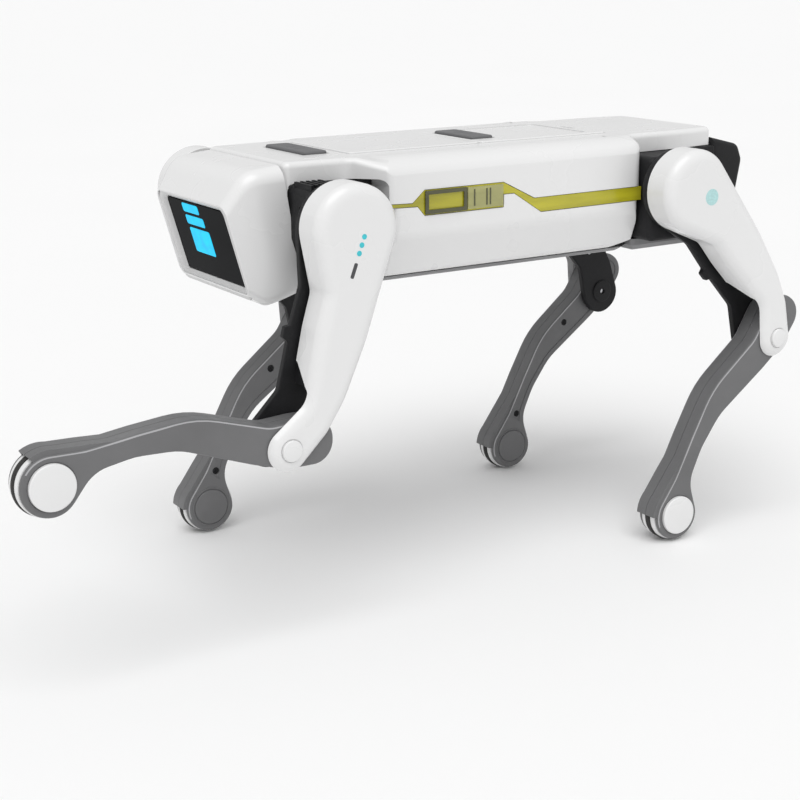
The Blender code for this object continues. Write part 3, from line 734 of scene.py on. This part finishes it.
# Name, shape, body, slot, finish and the CAD node that it shows, if any.
LEG_PIECES = (
    ("cover_skin", "cover", "thigh", "white_shell", WHITE, "thigh_cover"),
    ("frame_moulding", "frame", "thigh", "black_frame", BLACK, "thigh_frame"),
    ("knee_button", "knee_button", "thigh", "white_shell", WHITE, "knee_cap"),
    ("frame_screws", "frame_screws", "thigh", "steel_pin", STEEL, None),
    ("shank_outer_skin", "shank_outer", "shank", "grey_shank", SHANK_GREY, "shank_outer"),
    ("shank_inner_skin", "shank_inner", "shank", "grey_shank", SHANK_GREY, "shank_inner"),
    # The shank's screw heads are black, unlike the steel frame screws: painted shade standing in for the dark
    # inside of the screw holes.
    ("shank_screws_painted_shade", "shank_screws_painted_shade", "shank", "steel_pin", BLACK, None),
    ("highlight_bead_outer", "highlight_bead_outer", "shank", "grey_shank", EDGE_HIGHLIGHT_GREY, None),
    ("highlight_bead_inner", "highlight_bead_inner", "shank", "grey_shank", EDGE_HIGHLIGHT_GREY, None),
    ("foot_button", "foot_button", "shank", "white_shell", WHITE, "foot_cap"),
    ("roller_rim", "roller", "roller", "white_shell", WHITE, "wheel"),
    ("roller_band", "tyre", "roller", "tyre_rubber", RUBBER, "tyre"),
)


def dress_leg(leg, side, shapes):
    """Place one leg's pieces on its three bodies, and return the thigh's frame."""
    hip, knee, foot = JOINTS[leg + "_hip"], JOINTS[leg + "_knee"], JOINTS[leg + "_wheel_spin"]
    places = {"thigh": segment_frame(hip, knee, side), "shank": segment_frame(knee, foot, side)}
    places["roller"] = places["shank"] @ Matrix.Translation((0, 0, -SHANK * MM))
    for name, shape, body, slot, finish, node in LEG_PIECES:
        replaced = [leg + "_" + node] if node else ()
        piece(leg + "_" + name, shapes[shape].copy(), places[body], leg + "_" + body, finish, replaced)
    for node in (leg + "_knee_pin", leg + "_foot_axle"):
        repaint(node, STEEL)
    return places["thigh"]


# Trunk --------------------------------------------------------------------------------

PLAN = [
    (133.2, -48, 4), (133.2, 48, 4), (94, 50, 9), (77, 67, 7), (-103, 67, 7), (-107, 50, 5),
    (-150, 49, 20), (-179.5, 45, 6), (-179.5, -45, 6), (-150, -49, 20), (-107, -50, 5),
    (-103, -67, 7), (77, -67, 7), (94, -50, 9)]
STRIP = sharp([(77, 5.5), (63, 5.0), (55, 11.9), (0.7, 12.0), (-21.6, 0.9), (-103, 1.2), (-103, -7.1),
               (-26.6, -7.5), (-7, 5.1), (0.6, 5.1), (0.6, -2.3), (55, -2.3), (59.5, 3.0), (77, 3.5)])
POD = [(77, -67, 7), (77, 67, 7), (-103, 67, 7), (-103, -67, 7)]
SEAM = [(120, 4.3), (57, 4.3), (-4, 8.0), (-24, -3.2), (-130, -3.2)]
SEAM_GAP = 0.2
ARCH_TOP = 19.6
SHOULDER_FROM = 50.0
SHOULDER_DROP = 11.0
SHOULDER_BASE = 16.0


def shouldered(place):
    """Round the long upper edges of the side pods over, and leave the necks flat."""
    over = min(1.0, max(0.0, (abs(place.y) - SHOULDER_FROM) / (TRUNK_HALF - SHOULDER_FROM)))
    drop = SHOULDER_DROP * (1 - math.sqrt(1 - (over * 0.97) ** 2))
    share = min(1.0, max(0.0, (place.z - SHOULDER_BASE) / (DECK - SHOULDER_BASE)))
    return Vector((place.x, place.y, place.z - drop * share))


def beyond_seam(shift, limit):
    """All that lies between the shells' parting line and a height above or below it."""
    line = [(x, z + shift) for x, z in SEAM]
    return slab(sharp(line + [(-130, limit), (120, limit)]), [(0, -90), (0, 90)])


def strip_room(side, gap, depth):
    """The space for the tinted strip in a side wall."""
    low, high = sorted((side * (TRUNK_HALF - depth), side * (TRUNK_HALF + 4)))
    return slab(inset(STRIP, -gap), [(0, low), (0, high)])


def upper_shell_mesh():
    """White back shell, arched over the hips."""
    bend_rings = [(depth, DECK) for depth in (5, 7, 9, 11, 13, 15, 17.5, 20)]
    levels = rounding(-12, DECK, 0, 3.5, None, 6) + bend_rings
    shell = slab(PLAN, levels, "Z", shouldered)
    hollow = slab(inset(PLAN, 2.6), [(0, ARCH_TOP), (3, DECK - 8), (9, DECK - 3)], "Z")
    bay = slab(inset(POD, 2.6), [(0, -30), (0, DECK - 14), (12, DECK - 3.2)], "Z")
    front = [(77.6, -20, 0), (77.6, ARCH_TOP, 5), (131.5, ARCH_TOP, 5), (131.5, 10, 0), (140, 10, 0),
             (140, -20, 0)]
    rear = [(-103.6, -20, 0), (-103.6, ARCH_TOP, 4), (-190, ARCH_TOP, 0), (-190, -20, 0)]
    arches = [slab(corners, [(0, -90), (0, 90)]) for corners in (front, rear)]
    seats = [block((-5.0, -35, DECK - 1.9), (85, 35, DECK + 5)),
             block((-100.3, -35, DECK - 1.9), (-5.6, 35, DECK + 5)),
             block((91.4, -24.6, DECK - 8), (108.6, 24.6, DECK + 5)),
             block((-25.6, -21.6, DECK - 8), (-7.4, 21.6, DECK + 5))]
    grooves = [strip_room(side, 0.3, 1.9) for side in (1, -1)]
    below = beyond_seam(SEAM_GAP, -30)
    return eased(cut(shell, hollow, bay, *arches, *seats, below, *grooves), 0.45, 2, 50)


def lower_shell_mesh():
    """White tub whose sides curve in towards the belly."""
    section = mirrored([(TRUNK_HALF, 20, 0.03), (TRUNK_HALF, -13, 18), (57.5, -37, 5)])
    tub = slab(section, [(2.0, -103), (0.6, -102.4), (0, -101), (0, 75), (0.6, 76.4), (2.0, 77)], "X")
    tub = combined(tub, [slab(POD, [(0, -60), (0, 40)], "Z")], "INTERSECT")
    room_section = mirrored([(TRUNK_HALF - 2.6, 25, 0.03), (TRUNK_HALF - 2.6, -13, 16), (55, -34.4, 3)])
    room = slab(room_section, [(0, -100), (0, 74)], "X")
    wedge = slab(sharp([(-110, -50), (-110, -31), (-103.5, -32.2), (-84, -37), (-80, -38.5), (-80, -50)]),
                 [(0, -80), (0, 80)])
    grooves = [strip_room(side, 0.3, 1.9) for side in (1, -1)]
    above = beyond_seam(-SEAM_GAP, 60)
    return eased(cut(tub, room, wedge, above, *grooves), 0.4, 2, 50)


def housing_mesh(block_span, boss_span, chin):
    """A black block across the trunk with rounded bosses around two hip hubs."""
    floor, top = -33.0, 19.2
    middle = [(block_span[0], floor, 2), (block_span[1] - chin, floor, 2), (block_span[1], -10, 3),
              (block_span[1], top, 2), (block_span[0], top, 2)]
    outer = [(boss_span[0], floor, 5), (boss_span[1] - chin, floor, 5), (boss_span[1], -10, 5),
             (boss_span[1], top, 5), (boss_span[0], top, 5)]
    body = joined(slab(middle, rounding(-49, 49, 1.5, 1.5)),
                  slab(outer, rounding(-HOUSING_HALF, HOUSING_HALF, 3, 3)))
    return body


def hip_ribs():
    """Short cooling ribs over the front hip housing, on both sides."""
    ribs = []
    for index in range(5):
        x = 113.5 + 3.6 * index
        outline = sharp([(x, 18), (x, 21), (x + 1.6, 21), (x + 1.6, 18)])
        for side in (1, -1):
            low, high = sorted((side * 52, side * 71))
            ribs.append(slab(outline, [(0, low), (0, high)]))
    return ribs


def dress_housings():
    """The two black hip housings, with a bore on each side for the thigh's hub."""
    for end, hip_x, spans in (("front", HIP_X, ((78.0, 131.0), (95.0, 131.0), 7.0)),
                              ("rear", -HIP_X, ((-179.0, -103.8), (-143.0, -103.8), 0.0))):
        bores = [rod(14.6, low, high, (hip_x, 0)) for low, high in ((60, 80), (-80, -60))]
        ribs = hip_ribs() if end == "front" else []
        mesh = eased(joined(cut(housing_mesh(*spans), *bores), *ribs), 0.4, 2, 50)
        piece("hip_block_" + end, mesh, TRUNK, "trunk", BLACK, ["hip_housing_" + end])


def belly_tray_mesh():
    """Grey floor of the trunk, with a shallow seat under each hip housing."""
    plan = [
        (124, -40, 6), (124, 40, 6), (84, 48, 10), (74, 55, 5), (-98, 55, 5), (-108, 48, 10),
        (-176, 46, 6), (-176, -46, 6), (-108, -48, 10), (-98, -55, 5), (74, -55, 5), (84, -48, 10)]
    plate = slab(plan, [(8.0, -41), (5.0, -40.4), (1.6, -38.6), (0, -37.4)], "Z")
    front_seat = slab([(122, -50, 6), (122, 50, 6), (79, 50, 2), (79, -50, 2)],
                      [(3, -41), (0.5, -38), (0, -33.3)], "Z")
    rear_seat = slab([(-104.5, -57, 3), (-104.5, 57, 3), (-176, 56, 8), (-176, -56, 8)],
                     [(5, -41), (1.0, -37.5), (0, -33.3)], "Z")
    return eased(joined(plate, front_seat, rear_seat), 0.3, 1, 50)


def dress_trunk():
    """Shells, chassis and end cover."""
    piece("back_shell", upper_shell_mesh(), TRUNK, "trunk", WHITE, ["upper_shell"])
    piece("tub_shell", lower_shell_mesh(), TRUNK, "trunk", WHITE, ["lower_shell"])
    dress_housings()
    piece("belly_tray", belly_tray_mesh(), TRUNK, "trunk", TRIM_GREY, ["belly_plate"])
    outline = [(-180, 24, 0.5), (-180, -36.5, 4), (-200, -30, 6), (-208, 8, 8), (-204, 18, 6)]
    end_block = slab(outline, rounding(-45, 45, 4, 4))
    piece("end_block", eased(end_block, 0.3, 1, 50), TRUNK, "trunk", BLACK, ["rear_cover"])


def oblong(high_x, low_x, half_width, radius):
    """A rounded rectangle in plan, across the middle plane."""
    return [(high_x, -half_width, radius), (high_x, half_width, radius),
            (low_x, half_width, radius), (low_x, -half_width, radius)]


def dress_panels():
    """The front deck panel and the battery hatch behind it."""
    top = DECK + 0.9
    seat = DECK - 1.6
    panel = slab(oblong(84.7, -4.7, 34.7, 2.5), rounding(seat, top, 0, 0.9, None, 4), "Z")
    notch = block((-8, -22, seat - 1), (-4.0, 22, top + 2))
    piece("front_panel", eased(cut(panel, notch), 0.2, 1, 60), TRUNK, "trunk", WHITE,
          ["deck_panel_front"])
    hatch = slab(oblong(-5.9, -100, 34.7, 2.5), rounding(seat, top, 0, 0.9, None, 4), "Z")
    recess = slab(oblong(-31, -90, 29, 3), [(0, top - 0.7), (0.4, top + 1)], "Z")
    pad_hole = block((-25.6, -21.6, seat - 1), (-7.4, 21.6, top + 2))
    grip = slab(oblong(-93, -97.5, 9, 2), [(0, top - 1.2), (0, top + 1)], "Z")
    mesh = eased(cut(hatch, recess, pad_hole, grip), 0.2, 2, 50)
    piece("battery_hatch", mesh, TRUNK, "trunk", WHITE, ["deck_panel_rear"])


def dress_pads():
    """The two push pads on the deck, each with three short grooves."""
    for body, low_x, high_x, half, node in (("front_pad", 92.0, 108.0, 24.0, "touch_button_front"),
                                            ("back_pad", -25.0, -8.0, 21.0, "touch_button_back")):
        low, high = span(node, 2)
        pad = slab(oblong(high_x, low_x, half, 3), rounding(low, high, 0, 1.2, None, 5), "Z")
        middle = (low_x + high_x) / 2
        grooves = []
        for y in (-5, 0, 5):
            grooves.append(block((middle - 3.5, y - 0.5, high - 0.5), (middle + 3.5, y + 0.5, high + 1)))
        mesh = eased(cut(pad, *grooves), 0.15, 1, 60)
        piece(body + "_top", mesh, TRUNK, body, PAD_GREY, [node])


def bar_outline(front, back, bottom, top):
    """A sharp upright rectangle in side view."""
    return sharp([(front, bottom), (front, top), (back, top), (back, bottom)])


def dress_strips():
    """Tinted strips with their dark window frames and clear panes."""
    for side, label in ((1, "left"), (-1, "right")):
        def layer(corners, low, high):
            ends = sorted((side * (TRUNK_HALF + low), side * (TRUNK_HALF + high)))
            return slab(corners, [(0, ends[0]), (0, ends[1])])

        strip = eased(layer(STRIP, -1.6, -0.2), 0.25, 2, 50)
        piece("light_strip_" + label, strip, TRUNK, "trunk", OLIVE, ["side_strip_" + label])
        dark = layer(bar_outline(55, 26.5, -1.8, 11.5), 0.1, 1.0)
        rim = eased(cut(dark, layer(bar_outline(52.6, 28.8, 0.6, 9.2), -3, 3)), 0.3, 2, 50)
        piece("window_rim_" + label, rim, TRUNK, "trunk", SMOKE, ["window_frame_" + label])
        pane = eased(layer(bar_outline(26.0, 1.2, -1.4, 11.2), 0.0, 0.7), 0.25, 2, 50)
        piece("window_pane_" + label, pane, TRUNK, "trunk", CLEAR)
        for index, x in enumerate((22.0, 13.4, 11.0)):
            bar = eased(layer(bar_outline(x, x - 1.0, 0.2, 9.8), 0.5, 0.95), 0.12, 1, 50)
            piece("window_bar_%s_%d" % (label, index), bar, TRUNK, "trunk", SMOKE)


# Head ---------------------------------------------------------------------------------

def smooth_path(points, count):
    """Evenly spaced points along an open path of (a, b, radius) corners."""
    loop = rounded([(*points[0][:2], 0)] + list(points[1:-1]) + [(*points[-1][:2], 0)])
    lengths = [0.0]
    for first, second in zip(loop, loop[1:]):
        lengths.append(lengths[-1] + (second - first).length)
    places = []
    for index in range(count):
        want = lengths[-1] * index / (count - 1)
        part = max(i for i in range(len(loop) - 1) if lengths[i] <= want + 1e-9)
        share = (want - lengths[part]) / max(1e-9, lengths[part + 1] - lengths[part])
        places.append(loop[part].lerp(loop[part + 1], min(1.0, share)))
    return places


HEAD_TOP = [(134.8, 29.5, 0), (157, 27.2, 16), (168.6, 9.5, 0)]
HEAD_BOTTOM = [(123.6, -42, 0), (145, -48.0, 6), (154.6, -41.5, 0)]
HEAD_SIDE = [(0, 50, 0), (15, 50, 30), (36, 45, 0)]
HEAD_SECTIONS = 22
HEAD_CROWN = 29.5
HEAD_WAIST = -10
HEAD_FOOT = -42
HEAD_KINK = 2.8


def head_ring(work, top, bottom, half, radii, shrink=0.0, kink=0.0):
    """One rounded-rectangle section of the head; kink pushes its waist forward."""
    up = Vector((top[0] - bottom[0], top[1] - bottom[1]))
    height = up.length
    up.normalize()
    upper, lower = radii
    corners = [(half, height, upper), (-half, height, upper), (-half, 0, lower), (half, 0, lower)]
    ring = []
    for a, b in rounded(inset(corners, shrink)):
        z = bottom[1] + up.y * b
        end = HEAD_FOOT if z < HEAD_WAIST else HEAD_CROWN
        share = (z - end) / (HEAD_WAIST - end)
        x = bottom[0] + up.x * b + kink * max(0.0, share)
        ring.append(work.verts.new(Vector((x, a, z)) * MM))
    return ring


def head_mesh():
    """White head: flat rear wall, soft top and sides, and a rim around the face opening."""
    tops = smooth_path(HEAD_TOP, HEAD_SECTIONS)
    bottoms = smooth_path(HEAD_BOTTOM, HEAD_SECTIONS)
    sides = smooth_path(HEAD_SIDE, HEAD_SECTIONS)
    work = bmesh.new()
    rings = []
    last = HEAD_SECTIONS - 1
    rings.append(head_ring(work, tops[0], bottoms[0], sides[0][1], (9, 8), 1.2, HEAD_KINK))
    for index in range(HEAD_SECTIONS):
        share = index / last
        radii = (9 - 2.5 * share, 8 - 2.5 * share)
        kink = HEAD_KINK * max(0.0, 1 - 2.2 * share)
        rings.append(head_ring(work, tops[index], bottoms[index], sides[index][1], radii, 0.0, kink))
    for index, shrink in ((last, 0.8), (last - 1, 1.8), (last - 6, 2.4), (4, 2.8)):
        radii = (9 - 2.5 * index / last, 8 - 2.5 * index / last)
        rings.append(head_ring(work, tops[index], bottoms[index], sides[index][1], radii, shrink))
    for lower, upper in zip(rings, rings[1:]):
        for index in range(len(lower)):
            corner = (index + 1) % len(lower)
            work.faces.new((lower[index], lower[corner], upper[corner], upper[index]))
    work.faces.new(rings[0])
    work.faces.new(rings[-1])
    return finished(work)


def dress_head():
    """Head shell, bezel, screen and lamp blocks."""
    piece("head_skin", head_mesh(), TRUNK, "trunk", WHITE, ["head_shell"])
    face = TRUNK @ Matrix.Translation((160 * MM, 0, -16.2 * MM)) @ Matrix.Rotation(math.radians(15.8), 4, "Y")
    outer = [(44.2, -29.2, 6), (44.2, 27.6, 8), (-44.2, 27.6, 8), (-44.2, -29.2, 6)]
    opening = [(37.4, -22.8, 1), (37.4, 22.8, 3), (-37.4, 22.8, 3), (-37.4, -22.8, 1)]
    rim = slab(outer, [(0, -4.5), (0, -0.2), (0.4, 0.5), (1.2, 0.9)], "X")
    funnel = slab(opening, [(0, -8), (0, -1.2), (-1.4, 0.2), (-3.4, 1.2)], "X")
    # The rim's darker white is painted shade, not a different plastic.
    piece("face_rim", eased(cut(rim, funnel), 0.2, 2, 50), face, "trunk", SHADED_BEZEL_WHITE, ["face_bezel"])
    window = [(37, -22.4, 1), (37, 22.4, 3), (-37, 22.4, 3), (-37, -22.4, 1)]
    glass = slab(window, [(0, -3.2), (0, -1.4), (0.4, -1.0)], "X")
    piece("face_glass", glass, face, "trunk", SCREEN, ["face_lens"])
    lamps = ((15.6, 21.0, -18.0, 2.5), (8.2, 13.8, -17.6, 5.5), (-8.8, 6.2, -16.8, 8.5))
    for index, (low, high, right, left) in enumerate(lamps):
        corners = [(left, low, 1.4), (left, high, 1.4), (right, high, 1.4), (right, low, 1.4)]
        lamp = slab(corners, [(0, -1.6), (0, -0.95), (0.3, -0.8)], "X")
        piece("face_lamp_%d" % index, lamp, face, "trunk", GLOW)


def dress_inside():
    """Finishes of the CAD pieces that the shells cover."""
    repaint("led_board", BOARD)
    repaint("main_board", BOARD)
    repaint("battery_pack", WRAP)


# Printed marks --------------------------------------------------------------------------

def dress_marks(thighs):
    """Plain generic marks printed on the two left thighs."""
    top = COVER_OUT + 0.05
    for index in range(3):
        dot = rod(1.5, COVER_OUT - 0.3, top, (-4.0, -2.0 - 4.6 * index), 32)
        piece("thigh_dot_%d" % index, dot, thighs["fl"], "fl_thigh", CYAN_INK)
    bar = slab([(-3.0, -16.5, 0.8), (-3.0, -25.0, 0.8), (-5.2, -25.0, 0.8), (-5.2, -16.5, 0.8)],
               [(0, COVER_OUT - 0.3), (0, top)])
    piece("thigh_bar", bar, thighs["fl"], "fl_thigh", DARK_INK)
    disc = rod(5.0, COVER_OUT - 0.3, top, (-5.5, -8.0), 48)
    piece("thigh_disc", disc, thighs["rl"], "rl_thigh", PALE_INK)


# Studio ---------------------------------------------------------------------------------

SURROUND_LIGHT = 0.62
SUN_LIGHT = 1.55
SUN_SPREAD = math.radians(50)


def make_studio():
    """Pale floor, soft overhead light and an even bright surround."""
    work = bmesh.new()
    bmesh.ops.create_grid(work, x_segments=2, y_segments=2, size=40.0)
    mesh = bpy.data.meshes.new("floor")
    work.to_mesh(mesh)
    work.free()
    floor = bpy.data.objects.new("floor", mesh)
    bpy.context.scene.collection.objects.link(floor)
    nodes = Nodes("floor_paint", (0.93, 0.93, 0.93))
    nodes.link(nodes.ramp(nodes.noise(3.0, 3.0), 0.6, 0.7), nodes.roughness)
    nodes.set(Specular_IOR_Level=0.1)
    mesh.materials.append(nodes.material)
    world = bpy.data.worlds.new("surround")
    bpy.context.scene.world = world
    world.use_nodes = True
    background = world.node_tree.nodes["Background"]
    background.inputs["Color"].default_value = (1.0, 1.0, 1.0, 1.0)
    background.inputs["Strength"].default_value = SURROUND_LIGHT
    sun = bpy.data.lights.new("sky_panel", "SUN")
    sun.energy = SUN_LIGHT
    sun.angle = SUN_SPREAD
    lamp = bpy.data.objects.new("sky_panel", sun)
    lamp.rotation_euler = Vector((0.25, 0.45, 1.0)).to_track_quat("Z", "Y").to_euler()
    bpy.context.scene.collection.objects.link(lamp)
    bpy.context.scene.view_settings.view_transform = "Standard"


CAMERA_FROM_HIPS = Vector((0.5523, 0.8382, 0.1445))
CAMERA_YAW = -2.1472
CAMERA_PITCH = -0.2566
CAMERA_ROLL = -0.0054
CAMERA_LENS = 74.03
CAMERA_SHIFT = (-0.0396, -0.0287)


def make_camera():
    """A long lens looking down at the robot's front left quarter."""
    level = math.cos(CAMERA_PITCH)
    ahead = Vector((level * math.cos(CAMERA_YAW), level * math.sin(CAMERA_YAW), math.sin(CAMERA_PITCH)))
    right = ahead.cross(Vector((0, 0, 1))).normalized()
    up = right.cross(ahead)
    cosine, sine = math.cos(CAMERA_ROLL), math.sin(CAMERA_ROLL)
    rolled_right = right * cosine + up * sine
    rolled_up = up * cosine - right * sine
    data = bpy.data.cameras.new("camera")
    data.sensor_width = 36.0
    data.lens = CAMERA_LENS
    data.shift_x, data.shift_y = CAMERA_SHIFT
    data.clip_end = 200.0
    camera = bpy.data.objects.new("camera", data)
    turn = Matrix((rolled_right, rolled_up, -ahead)).transposed().to_4x4()
    camera.matrix_world = Matrix.Translation(HIP_MIDDLE + CAMERA_FROM_HIPS) @ turn
    bpy.context.scene.collection.objects.link(camera)
    bpy.context.scene.camera = camera


make_camera()
make_studio()
SHAPES = leg_shapes()
THIGHS = {}
for leg_name, leg_side in LEGS.items():
    THIGHS[leg_name] = dress_leg(leg_name, leg_side, SHAPES)
dress_trunk()
dress_panels()
dress_pads()
dress_strips()
dress_head()
dress_inside()
dress_marks(THIGHS)
